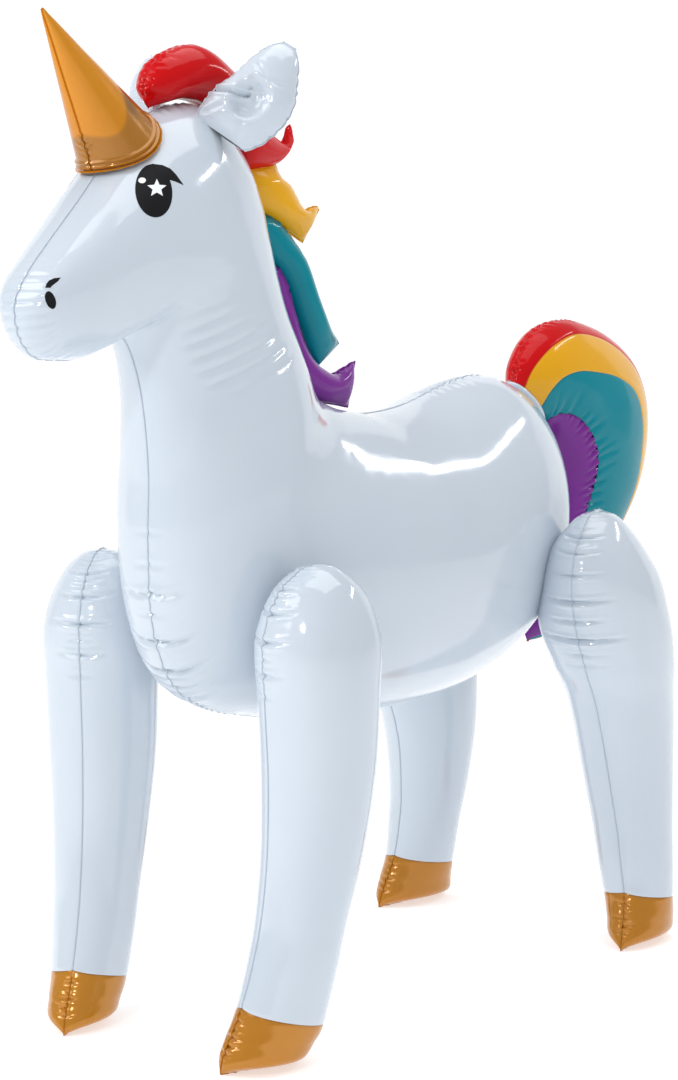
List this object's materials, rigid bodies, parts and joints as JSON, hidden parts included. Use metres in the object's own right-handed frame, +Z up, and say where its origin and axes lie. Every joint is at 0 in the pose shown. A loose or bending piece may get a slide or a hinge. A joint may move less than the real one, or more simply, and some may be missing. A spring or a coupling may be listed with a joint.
{
  "type": "inflatable unicorn",
  "caption": "Free-standing inflatable unicorn of welded film panels, with a horn, puffed mane and tail, four legs and air valves.",
  "frame": {"origin": "on the floor, under the middle of the figure's bounding box", "axes": "+Z up, the figure faces -Y, and its left side is +X"},
  "size_m": [0.6028, 1.567, 1.4],
  "materials": {
    "white_film": "glossy white PVC film",
    "gold_film": "glossy translucent gold PVC film",
    "red_film": "glossy red PVC film",
    "yellow_film": "glossy yellow PVC film",
    "teal_film": "glossy teal PVC film",
    "purple_film": "glossy purple PVC film",
    "valve_vinyl": "soft clear-white moulded vinyl"
  },
  "bodies": {
    "figure": {"body_left_panel": "white_film", "body_right_panel": "white_film", "leg_front_left_outer": "white_film", "leg_front_left_inner": "white_film", "leg_front_right_outer": "white_film", "leg_front_right_inner": "white_film", "leg_rear_left_outer": "white_film", "leg_rear_left_inner": "white_film", "leg_rear_right_outer": "white_film", "leg_rear_right_inner": "white_film", "hoof_front_left": "gold_film", "hoof_front_right": "gold_film", "hoof_rear_left": "gold_film", "hoof_rear_right": "gold_film", "sleeve_front_left": "white_film", "sleeve_front_right": "white_film", "sleeve_rear_left": "white_film", "sleeve_rear_right": "white_film", "horn_left_panel": "gold_film", "horn_right_panel": "gold_film", "horn_weld_ring": "gold_film", "ear_left": "white_film", "ear_right": "white_film", "mane_red": "red_film", "mane_yellow": "yellow_film", "mane_teal": "teal_film", "mane_purple": "purple_film", "tail_red": "red_film", "tail_yellow": "yellow_film", "tail_teal": "teal_film", "tail_purple": "purple_film", "tail_collar": "white_film", "body_valve_base": "valve_vinyl", "mane_valve_base": "valve_vinyl", "tail_valve_base": "valve_vinyl"},
    "body_stem": {"body_valve_stem": "valve_vinyl"},
    "body_plug": {"body_valve_plug": "valve_vinyl"},
    "mane_stem": {"mane_valve_stem": "valve_vinyl"},
    "mane_plug": {"mane_valve_plug": "valve_vinyl"},
    "tail_stem": {"tail_valve_stem": "valve_vinyl"},
    "tail_plug": {"tail_valve_plug": "valve_vinyl"}
  },
  "joints": [
    {"name": "body_stem_push_in", "type": "slide", "parent": "figure", "child": "body_stem", "axis": [0.8376, 0.023, -0.5459], "range_m": [0, 0.012]},
    {"name": "body_plug_pull_out", "type": "slide", "parent": "body_stem", "child": "body_plug", "axis": [-0.8376, -0.023, 0.5459], "range_m": [0, 0.01]},
    {"name": "mane_stem_push_in", "type": "slide", "parent": "figure", "child": "mane_stem", "axis": [0.9999, 0.003, 0.0143], "range_m": [0, 0.012]},
    {"name": "mane_plug_pull_out", "type": "slide", "parent": "mane_stem", "child": "mane_plug", "axis": [-0.9999, -0.003, -0.0143], "range_m": [0, 0.01]},
    {"name": "tail_stem_push_in", "type": "slide", "parent": "figure", "child": "tail_stem", "axis": [0.9916, -0.1291, 0.0086], "range_m": [0, 0.012]},
    {"name": "tail_plug_pull_out", "type": "slide", "parent": "tail_stem", "child": "tail_plug", "axis": [-0.9916, 0.1291, -0.0086], "range_m": [0, 0.01]}
  ]
}
